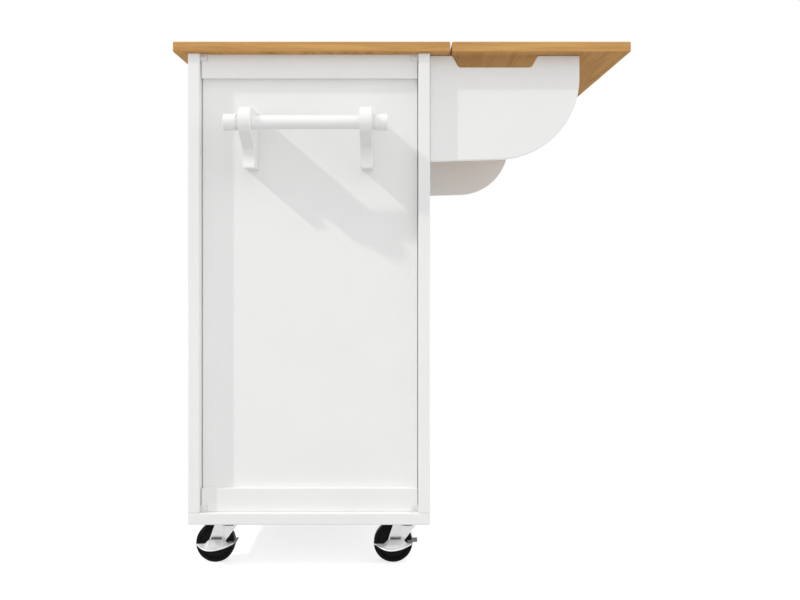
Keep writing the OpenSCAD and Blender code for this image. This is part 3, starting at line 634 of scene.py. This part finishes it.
class ISLAND_OT_fittings(IslandOperator, bpy.types.Operator):
    """Makes the corner connectors with their screws, the catches and the shelf pins"""
    bl_idname = "island.fittings"
    bl_label = "Connectors, catches and pins"

    def execute(self, context):
        boards("corner_connectors", CONNECTOR_EDGE, "white plastic")
        parts = solids_of("corner_connectors")
        middle_x = sum(low.x + high.x for low, high in parts) / (2 * len(parts))
        radius = sizes().connector_screw
        for side, label in SIDES:
            places = []
            for low, high in parts:
                centre = (low + high) / 2.0
                if (centre.x - middle_x) * side > 0.0:
                    face = high.x if side > 0.0 else low.x
                    places.append((face, centre.y, centre.z))
            screw_set("connector_screws_" + label, "cabinet", places, (side, 0.0, 0.0),
                      radius, CONNECTOR_SCREW_HEIGHT, CONNECTOR_SCREW_DEPTH)
        softened("door_catches", CATCH_EDGE, "white plastic")
        softened("shelf_pins", PIN_EDGE, "zinc steel")
        return {"FINISHED"}


def add_panel_steps(bm, front_y):
    """Sinks a chamfered step into the recessed field of a door or a drawer front."""
    field_y = front_y + FIELD_RECESS
    fields = [f for f in bm.faces
              if f.normal.y < -0.99 and abs(f.calc_center_median().y - field_y) < 0.0004]
    field = max(fields, key=lambda f: f.calc_area())
    for width, drop in ((FIELD_BAND, 0.0), (FIELD_STEP, FIELD_DROP)):
        bmesh.ops.inset_region(bm, faces=[field], thickness=width, depth=-drop,
                               use_even_offset=True)


class ISLAND_OT_fronts(IslandOperator, bpy.types.Operator):
    """Makes the doors and drawer fronts with framed fields, and their knobs"""
    bl_idname = "island.fronts"
    bl_label = "Doors, drawers and knobs"

    def execute(self, context):
        edge = sizes().board_edge
        for name in ("door_right", "door_left", "drawer_front_right", "drawer_front_left"):
            bm = merged_copy(name)
            bm.normal_update()
            add_panel_steps(bm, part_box(name)[0].y)
            round_edges(bm, edge, 2)
            add_dressed(name, bm, "white paint")
        for name in ("drawer_box_right", "drawer_box_left"):
            boards(name, PANEL_EDGE * edge, "white paint")
        for name in ("door_knob_right", "door_knob_left", "drawer_knob_right", "drawer_knob_left"):
            self.make_knob(name)
        return {"FINISHED"}

    def make_knob(self, name):
        low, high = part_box(name)
        head = (high.x - low.x) / 2.0
        out = high.y - low.y
        middle = Vector(((low.x + high.x) / 2.0, high.y, (low.z + high.z) / 2.0))
        profile = [(0.0, 0.0), (0.58 * head, 0.0), (0.6 * head, 0.0006), (0.57 * head, 0.0018),
                   (0.46 * head, 0.0028), (0.38 * head, 0.3 * out), (0.42 * head, out - 0.0125),
                   (0.60 * head, out - 0.0115)]
        profile += rounded_corner(head - KNOB_ROUND, out - 0.0087, KNOB_ROUND, -70.0, 50.0, 6)
        profile += [(0.80 * head, out - 0.0040), (0.62 * head, out - 0.0020),
                    (0.42 * head, out - 0.0008), (0.20 * head, out - 0.0002), (0.0, out)]
        turned_piece(name, profile, 48, [turned_to((0.0, -1.0, 0.0), middle)], "satin nickel")


class ISLAND_OT_hinges(IslandOperator, bpy.types.Operator):
    """Makes the hinges and drawer runners, and the hinges' screws"""
    bl_idname = "island.hinges"
    bl_label = "Hinges and runners"

    def execute(self, context):
        edge = sizes().metal_edge
        for name in ("door_hinge_plates", "leaf_hinge_plates", "support_hinge_plates",
                     "leaf_hinge_flaps", "support_hinge_flap_right", "support_hinge_flap_left",
                     "door_hinge_flaps_right", "door_hinge_flaps_left", "drawer_runners",
                     "drawer_slides_right", "drawer_slides_left"):
            softened(name, HINGE_EDGE * edge, "zinc steel", 1)
        self.door_screws()
        self.leaf_screws()
        self.support_screws()
        return {"FINISHED"}

    def screws(self, name, body, places, direction):
        screw_set(name, body, places, direction, sizes().hinge_screw, HINGE_SCREW_HEIGHT,
                  HINGE_SCREW_DEPTH)

    def rows(self, name, axis, spread):
        """Places of the screws along an axis, three on each of a node's hinges."""
        middles = set(round((low[axis] + high[axis]) / 2.0, 4) for low, high in solids_of(name))
        return [middle + lift for middle in sorted(middles) for lift in (-spread, 0.0, spread)]

    def door_screws(self):
        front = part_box("door_hinge_plates")[1].y - SCREW_SEAT
        heights = self.rows("door_hinge_plates", 2, DOOR_SCREW_SPREAD)
        for side, label in SIDES:
            pin = joint("door_hinge_" + label)["pos_m"][0]
            for out, body, kind in ((side, "cabinet", "post"), (-side, "door_" + label, "door")):
                places = [(pin + out * DOOR_SCREW_REACH, front, z) for z in heights]
                self.screws("door_hinge_screws_" + kind + "_" + label, body, places,
                            (0.0, -1.0, 0.0))

    def leaf_screws(self):
        pin = joint("leaf_hinge")["pos_m"][1]
        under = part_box("leaf_hinge_plates")[1].z - SCREW_SEAT
        row = self.rows("leaf_hinge_plates", 0, LEAF_SCREW_SPREAD)
        for out, body, kind in ((-1.0, "cabinet", "worktop"), (1.0, "leaf", "leaf")):
            places = [(x, pin + out * LEAF_SCREW_REACH, under) for x in row]
            self.screws("leaf_hinge_screws_" + kind, body, places, (0.0, 0.0, -1.0))

    def support_screws(self):
        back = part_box("support_hinge_plates")[0].y + SCREW_SEAT
        heights = self.rows("support_hinge_plates", 2, SUPPORT_SCREW_SPREAD)
        for side, label in SIDES:
            pin = joint("support_hinge_" + label)["pos_m"]
            outer = pin[0] - side * SUPPORT_SCREW_REACH
            places = [(outer, back, z) for z in heights]
            self.screws("support_hinge_screws_post_" + label, "cabinet", places, (0.0, 1.0, 0.0))
            inner = pin[0] + side * SUPPORT_FLAP_FACE
            places = [(inner, pin[1] + SUPPORT_SCREW_REACH, z) for z in heights]
            self.screws("support_hinge_screws_board_" + label, "support_" + label, places,
                        (-side, 0.0, 0.0))


class ISLAND_OT_supports(IslandOperator, bpy.types.Operator):
    """Makes the two swing-out leaf supports"""
    bl_idname = "island.supports"
    bl_label = "Leaf supports"

    def execute(self, context):
        for name in ("support_right", "support_left"):
            softened(name, sizes().board_edge, "white paint", 3)
        return {"FINISHED"}


class ISLAND_OT_towel_bar(IslandOperator, bpy.types.Operator):
    """Makes the towel bar with its caps and brackets"""
    bl_idname = "island.towel_bar"
    bl_label = "Towel bar"

    def execute(self, context):
        softened("towel_brackets", BRACKET_EDGE, "white paint", 3)
        low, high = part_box("towel_bar")
        middle = (low + high) / 2.0
        radius = (high.z - low.z) / 2.0
        half = (high.y - low.y) / 2.0
        bar = [(0.0, -half), (radius, -half), (radius, half), (0.0, half)]
        along = turned_to((0.0, 1.0, 0.0), middle)
        turned_piece("towel_bar", bar, 64, [along], "white paint")
        low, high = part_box("towel_bar_caps")
        first = solids_of("towel_bar_caps")[0]
        radius = (high.z - low.z) / 2.0
        length = first[1].y - first[0].y
        cap = [(0.0, 0.0), (radius - CAP_CHAMFER, 0.0), (radius, CAP_CHAMFER)]
        cap += rounded_corner(radius - CAP_EDGE, length - CAP_EDGE, CAP_EDGE, 0.0, 90.0)
        cap += [(0.0, length)]
        places = [turned_to((0.0, way, 0.0), (middle.x, inner, middle.z))
                  for way, inner in ((-1.0, low.y + length), (1.0, high.y - length))]
        turned_piece("towel_bar_caps", cap, 64, places, "white paint")
        return {"FINISHED"}


# The casters. Each corner has its caster's turn. A pedal's tab has the end and the top of its
# strip, and its own start and lean.

CORNERS = {"front_right": 0.0, "rear_right": 0.0, "front_left": math.pi, "rear_left": math.pi}
TABS = {"front": (0.0034, 0.0400, 0.0022, 0.55), "rear": (0.0004, 0.0422, -0.002, 0.0)}
PLATE_UNDER = 0.075
PLATE_HOLE = 0.022
PLATE_SCREW = (0.004, 0.0019, 0.0012)
TRAIL = 0.019
WHEEL_R = 0.034
WHEEL_HALF = 0.011
HUB_HALF = 0.0124
TREAD_ROUND = 0.0042
FORK_FACE = 0.0149
RIB_LOW = (-0.0035, 0.048)
RIB_HIGH = (-0.0011, 0.067)
RIB_OUT = 0.0006
RIB_EDGE = 0.0005
# The fork strips are thin dark boxes of painted shade near the top of each leg.
SHADE_STRIP_LOW = (-0.0044, 0.0655)
SHADE_STRIP_HIGH = (0.0142, 0.0673)
SHADE_STRIP_OUT = 0.0002
SHADE_STRIP_EDGE = 0.0001
PEDAL_REACH = 0.0235
PEDAL_LEAST_REACH = 0.0008
PEDAL_HALF_W = 0.034
PEDAL_TIP_Y = -0.003
PEDAL_CURVE_SPANS = (0.0275, 0.037)
PEDAL_T = 0.0018
PEDAL_SLOPE = 12.0
PEDAL_ROLL = 1.3
PEDAL_EDGE_X = 0.0206
PEDAL_EDGE_Z = 0.0365
PEDAL_MIDDLE = 0.0044
HUMP_FLAT = 0.0115
HUMP_FADE = 0.0105
RING_X = 0.011
RING_Y = 0.0025
RING_R = 0.0062
RING_WIDTH = 0.0008
RING_DEPTH = 0.0006
RING_BREAK = 0.002
RIM_R = 0.00095
RIM_IN = 0.0008
RIM_LIFT = 0.0003
RIM_END = 0.0006
RIM_STEPS = 60
RIM_SIDES = 10
BARREL_X = 0.0183
BARREL_Z = 0.043
BARREL_R = 0.0028
BARREL_BORE = 0.0016
BARREL_HALF = 0.009
BARREL_EDGE = 0.0004
EAR_HALF = 0.0088
EAR_EDGE = 0.0005
STRIP_START = 0.009
STRIP_LOW = 0.0361
STRIP_IN = 0.0008
STRIP_OUT = 0.0006
STRIP_EDGE = 0.0003
TAB_LOW = 0.0395
TAB_HIGH = 0.0472
TAB_END = 0.008
TAB_EDGE = 0.0007
TAB_PIVOT_Z = 0.0434


class ISLAND_OT_casters(IslandOperator, bpy.types.Operator):
    """Makes the four casters with their plates, forks, wheels and brake pedals"""
    bl_idname = "island.casters"
    bl_label = "Casters"

    def execute(self, context):
        softened("caster_plates", sizes().metal_edge, "zinc steel", 2)
        places = []
        for corner in CORNERS:
            x, y = joint("swivel_" + corner)["pos_m"][:2]
            places += [(x + i * PLATE_HOLE, y + j * PLATE_HOLE, PLATE_UNDER)
                       for i in (-1, 1) for j in (-1, 1)]
        made = screw_set("caster_screws_dressed", "cabinet", places, (0.0, 0.0, -1.0),
                         *PLATE_SCREW)
        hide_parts("caster_screws")
        for corner, turn in CORNERS.items():
            x, y = joint("swivel_" + corner)["pos_m"][:2]
            place = Matrix.Translation((x, y, 0.0)) @ Matrix.Rotation(turn, 4, "Z")
            self.make_fork(corner, place)
            self.make_wheel(corner, place)
            self.make_pedal(corner, place @ Matrix.Translation((0.0, -TRAIL, 0.0)))
        return {"FINISHED"}

    def fork_trim(self, bm, place, out, low, high, width, segments):
        """Adds a thin box to the face of each leg of a fork, between two (y, z) corners."""
        for face in (-FORK_FACE, FORK_FACE):
            box = add_box(bm, (face - out, *low), (face + out, *high), width, segments)
            bmesh.ops.transform(bm, matrix=place, verts=box)

    def make_fork(self, corner, place):
        """Fork with a ridge on each leg, and dark strips near the top of each leg that paint the
        shade there.
        """
        name = "caster_fork_" + corner
        bm = merged_copy(name)
        round_edges(bm, sizes().metal_edge, 2)
        self.fork_trim(bm, place, RIB_OUT, RIB_LOW, RIB_HIGH, RIB_EDGE, 3)
        add_dressed(name, bm, "zinc steel")
        # Painted shade: dark strips on the legs' faces near their tops.
        slots = bmesh.new()
        self.fork_trim(slots, place, SHADE_STRIP_OUT, SHADE_STRIP_LOW, SHADE_STRIP_HIGH, SHADE_STRIP_EDGE, 1)
        add_piece("caster_fork_shade_strips_" + corner, slots, "caster_" + corner, "steel painted dark as shade",
                  angle=45.0)

    def make_wheel(self, corner, place):
        """Wheel with a hub, a sunk side with a ring on it, and a rounded tread."""
        side = [(0.0032, HUB_HALF), (0.0090, HUB_HALF), (0.0098, HUB_HALF - 0.0008),
                (0.0104, 0.0076), (0.0122, 0.0070), (0.0242, 0.0070), (0.0256, 0.0076),
                (0.0262, 0.0092), (0.0270, 0.0103), (0.0280, 0.0106), (0.0292, 0.0100),
                (0.0300, 0.0104)]
        side += rounded_corner(WHEEL_R - TREAD_ROUND, WHEEL_HALF - TREAD_ROUND, TREAD_ROUND,
                               78.0, 0.0, 7)
        profile = side + [(r, -h) for r, h in reversed(side)]
        axle = place @ turned_to((1.0, 0.0, 0.0), (0.0, -TRAIL, WHEEL_R))
        turned_piece("caster_wheel_" + corner, profile, 96, [axle], "tyre black")

    def make_pedal(self, corner, place):
        """Half-round pressed pedal with its rolled rim, painted lighter as a highlight, and its
        barrel, strip and tab, whose dark colour is painted shade.
        """
        name = "caster_brake_" + corner
        tilt = Matrix.Rotation(math.radians(PEDAL_SLOPE), 4, "Y")
        roll = Matrix.Rotation(math.radians(PEDAL_ROLL), 4, "X")
        laid = place @ Matrix.Translation((PEDAL_EDGE_X, 0.0, PEDAL_EDGE_Z)) @ roll @ tilt
        self.make_pedal_plate(name, laid)
        self.make_pedal_rim(name, corner, laid)
        outside = PEDAL_EDGE_X + PEDAL_T
        # The barrel, the strip and the tab are in steel painted dark: painted shade where the pedal
        # sits under the base board.
        bm = bmesh.new()
        add_box(bm, (PEDAL_EDGE_X, PEDAL_MIDDLE - EAR_HALF, PEDAL_EDGE_Z - PEDAL_T),
                (outside, PEDAL_MIDDLE + EAR_HALF, BARREL_Z), EAR_EDGE, 2)
        end = [(BARREL_BORE, -BARREL_HALF), (BARREL_R - BARREL_EDGE, -BARREL_HALF),
               (BARREL_R, BARREL_EDGE - BARREL_HALF)]
        barrel = end + [(r, -h) for r, h in reversed(end)]
        add_spun(bm, barrel, 24, turned_to((0.0, 1.0, 0.0), (BARREL_X, PEDAL_MIDDLE, BARREL_Z)))
        strip_end, strip_top, tab_start, lean = TABS[corner.split("_")[0]]
        add_box(bm, (PEDAL_EDGE_X - STRIP_IN, PEDAL_HALF_W - STRIP_START, STRIP_LOW),
                (PEDAL_EDGE_X + STRIP_OUT, PEDAL_HALF_W + strip_end, strip_top), STRIP_EDGE, 2)
        tab = add_box(bm, (PEDAL_EDGE_X, PEDAL_HALF_W + tab_start, TAB_LOW),
                      (outside, PEDAL_HALF_W + TAB_END, TAB_HIGH), TAB_EDGE, 3)
        for v in tab:
            v.co.y += lean * (v.co.z - TAB_PIVOT_Z)
        bmesh.ops.transform(bm, matrix=place, verts=bm.verts)
        bmesh.ops.recalc_face_normals(bm, faces=bm.faces)
        add_piece("caster_brake_barrel_" + corner, bm, "brake_" + corner, "steel painted dark as shade",
                  (name,), 45.0)

    def pedal_outline(self, y):
        """Distance from the pedal's straight edge to its round outline, and the outward direction
        there. The outline is furthest out a little to one side."""
        out = y - PEDAL_TIP_Y
        half = PEDAL_CURVE_SPANS[0] if out < 0.0 else PEDAL_CURVE_SPANS[1]
        part = max(-1.0, min(out / half, 1.0))
        reach = max(PEDAL_REACH * (1.0 - part ** 2), PEDAL_LEAST_REACH)
        return reach, Vector((1.0, 2.0 * PEDAL_REACH * part / half, 0.0)).normalized()

    def make_pedal_rim(self, name, corner, place):
        """Rolled edge along the pedal's round outline, in zinc painted lighter as a highlight."""
        bm = bmesh.new()
        rings = []
        for i in range(RIM_STEPS + 1):
            y = math.sin((i / RIM_STEPS - 0.5) * math.pi) * (PEDAL_HALF_W - RIM_END)
            reach, side = self.pedal_outline(y)
            middle = Vector((reach - RIM_IN, y, RIM_LIFT - 0.5 * PEDAL_T))
            ring = []
            for k in range(RIM_SIDES):
                angle = math.tau * k / RIM_SIDES
                out = side * math.cos(angle) + Vector((0.0, 0.0, math.sin(angle)))
                ring.append(bm.verts.new(middle + RIM_R * out))
            rings.append(ring)
        for first, second in zip(rings, rings[1:]):
            for k in range(RIM_SIDES):
                bm.faces.new((first[k], first[k - 1], second[k - 1], second[k]))
        bm.faces.new(rings[0])
        bm.faces.new(reversed(rings[-1]))
        bmesh.ops.transform(bm, matrix=place, verts=bm.verts)
        bmesh.ops.recalc_face_normals(bm, faces=bm.faces)
        add_piece("caster_brake_rim_" + corner, bm, "brake_" + corner, "zinc painted with a highlight",
                  (name,), 60.0)

    def make_pedal_plate(self, name, place):
        """Sheet pressed up into a hump, with a shallow broken ring pressed into its top."""
        bm = bmesh.new()
        grid = bmesh.ops.create_grid(bm, x_segments=22, y_segments=64, size=1.0)["verts"]
        dents = {}
        for v in grid:
            out = (v.co.x + 1.0) / 2.0
            y = math.sin(v.co.y * math.pi / 2.0) * PEDAL_HALF_W
            x = out * self.pedal_outline(y)[0]
            across = min(max((abs(y - PEDAL_MIDDLE) - HUMP_FLAT) / HUMP_FADE, 0.0), 1.0)
            swell = (math.cos(across * math.pi / 2.0) * math.cos(out * math.pi / 2.0)) ** 2
            v.co = Vector((x, y, sizes().pedal_hump * swell))
            if abs(y - RING_Y) > RING_BREAK:
                off_ring = math.hypot(x - RING_X, y - RING_Y) - RING_R
                dents[v] = RING_DEPTH * math.exp(-(off_ring / RING_WIDTH) ** 2)
        under = verts_among(bmesh.ops.extrude_face_region(bm, geom=bm.faces[:]))
        bmesh.ops.translate(bm, verts=under, vec=(0.0, 0.0, -PEDAL_T))
        for v, depth in dents.items():
            v.co.z -= depth
        bmesh.ops.transform(bm, matrix=place, verts=bm.verts)
        bmesh.ops.recalc_face_normals(bm, faces=bm.faces)
        add_dressed(name, bm, "pressed zinc")


# Stage

WHITE = (1.0, 1.0, 1.0, 1.0)
FLOOR_GREY = (0.49, 0.49, 0.49, 1.0)
FLOOR_GLOW = 0.72
FLOOR_SIZE = 12.0
SKY_TONE = (0.985, 0.992, 1.0, 1.0)
SKY_STRENGTHS = (0.70, 1.38)
KEY_STRENGTH = 1.22
KEY_TRAVEL = (-1.0, 2.70, -2.34)
KEY_TONE = (1.0, 0.985, 0.96)
FILL_STRENGTH = 0.18
FILL_ANGLE = 70.0
FILL_TRAVEL = (-0.18, -1.0, -0.15)


class ISLAND_OT_stage(IslandOperator, bpy.types.Operator):
    """Makes the floor, the lamps, the world and the camera"""
    bl_idname = "island.stage"
    bl_label = "Stage, lamps and camera"

    def execute(self, context):
        self.make_floor()
        self.make_world(context)
        self.make_lamps()
        self.make_camera(context)
        context.scene.view_settings.view_transform = "Standard"
        return {"FINISHED"}

    def make_floor(self):
        bm = bmesh.new()
        bmesh.ops.create_grid(bm, x_segments=1, y_segments=1, size=FLOOR_SIZE)
        floor = object_of("floor", bm)
        material = bpy.data.materials.new("pale floor")
        material.use_nodes = True
        tree = material.node_tree
        tree.nodes.clear()
        output = node(tree, "ShaderNodeOutputMaterial")
        both = node(tree, "ShaderNodeAddShader")
        matt = node(tree, "ShaderNodeBsdfDiffuse", {"Color": FLOOR_GREY})
        glow = node(tree, "ShaderNodeEmission", {"Color": WHITE})
        seen = node(tree, "ShaderNodeMath", {1: FLOOR_GLOW}, operation="MULTIPLY")
        tree.links.new(plain_rays(tree), seen.inputs[0])
        tree.links.new(seen.outputs[0], glow.inputs["Strength"])
        tree.links.new(matt.outputs[0], both.inputs[0])
        tree.links.new(glow.outputs[0], both.inputs[1])
        tree.links.new(both.outputs[0], output.inputs["Surface"])
        floor.data.materials.append(material)

    def make_world(self, context):
        """White surroundings, whose light is dimmer on the key lamp's side, towards -Y."""
        world = bpy.data.worlds.new("studio")
        context.scene.world = world
        world.use_nodes = True
        tree = world.node_tree
        tree.nodes.clear()
        output = node(tree, "ShaderNodeOutputWorld")
        sky = node(tree, "ShaderNodeBackground", {"Color": SKY_TONE})
        split = node(tree, "ShaderNodeSeparateXYZ")
        direction = node(tree, "ShaderNodeTexCoord").outputs["Generated"]
        tree.links.new(direction, split.inputs["Vector"])
        tree.links.new(span(tree, split.outputs["Y"], -1.0, 1.0, *SKY_STRENGTHS),
                       sky.inputs["Strength"])
        white = node(tree, "ShaderNodeBackground", {"Color": WHITE, "Strength": 1.0})
        pick = node(tree, "ShaderNodeMixShader")
        tree.links.new(plain_rays(tree), pick.inputs[0])
        tree.links.new(sky.outputs[0], pick.inputs[1])
        tree.links.new(white.outputs[0], pick.inputs[2])
        tree.links.new(pick.outputs[0], output.inputs["Surface"])

    def add_sun(self, name, energy, angle, travel):
        """Lamp whose parallel light travels along a direction, with its apparent size."""
        data = bpy.data.lights.new(name, "SUN")
        data.energy = energy
        data.angle = angle
        lamp = bpy.data.objects.new(name, data)
        bpy.context.scene.collection.objects.link(lamp)
        direction = Vector(travel)
        lamp.rotation_euler = direction.to_track_quat("-Z", "Y").to_euler()
        lamp.location = -direction
        return data

    def make_lamps(self):
        key = self.add_sun("key lamp", KEY_STRENGTH, sizes().sun_angle, KEY_TRAVEL)
        key.color = KEY_TONE
        self.add_sun("fill lamp", FILL_STRENGTH, math.radians(FILL_ANGLE), FILL_TRAVEL)

    def make_camera(self, context):
        lens = bpy.data.cameras.new("camera")
        lens.sensor_width = 36.0
        lens.lens = 42.05
        lens.shift_x = 0.0019
        lens.shift_y = -0.0625
        lens.clip_start = 0.05
        lens.clip_end = 60.0
        camera = bpy.data.objects.new("camera", lens)
        context.scene.collection.objects.link(camera)
        camera.location = (2.118, -0.00575, 0.5485)
        camera.rotation_euler = (math.radians(90.0), 0.0, math.radians(90.0))
        context.scene.camera = camera


class ISLAND_PT_panel(bpy.types.Panel):
    """Lists the steps that dress the island"""
    bl_label = "Rolling kitchen island"
    bl_idname = "ISLAND_PT_panel"
    bl_space_type = "VIEW_3D"
    bl_region_type = "UI"
    bl_category = "Island"

    def draw(self, context):
        layout = self.layout
        for group in (context.scene.island_sizes, context.scene.island_colours):
            box = layout.box()
            for name in group.__annotations__:
                box.prop(group, name)
        for operator in OPERATORS:
            layout.operator(operator.bl_idname)


OPERATORS = (ISLAND_OT_wood, ISLAND_OT_cabinet, ISLAND_OT_fittings, ISLAND_OT_fronts,
             ISLAND_OT_hinges, ISLAND_OT_supports, ISLAND_OT_towel_bar, ISLAND_OT_casters,
             ISLAND_OT_stage)
CLASSES = (IslandSizes, IslandColours) + OPERATORS + (ISLAND_PT_panel,)


def register():
    for item in CLASSES:
        bpy.utils.register_class(item)
    bpy.types.Scene.island_sizes = bpy.props.PointerProperty(type=IslandSizes)
    bpy.types.Scene.island_colours = bpy.props.PointerProperty(type=IslandColours)


def unregister():
    del bpy.types.Scene.island_colours
    del bpy.types.Scene.island_sizes
    for item in reversed(CLASSES):
        bpy.utils.unregister_class(item)


def main():
    register()
    make_materials()
    bpy.ops.island.wood()
    bpy.ops.island.cabinet()
    bpy.ops.island.fittings()
    bpy.ops.island.fronts()
    bpy.ops.island.hinges()
    bpy.ops.island.supports()
    bpy.ops.island.towel_bar()
    bpy.ops.island.casters()
    bpy.ops.island.stage()


if __name__ == "__main__":
    main()
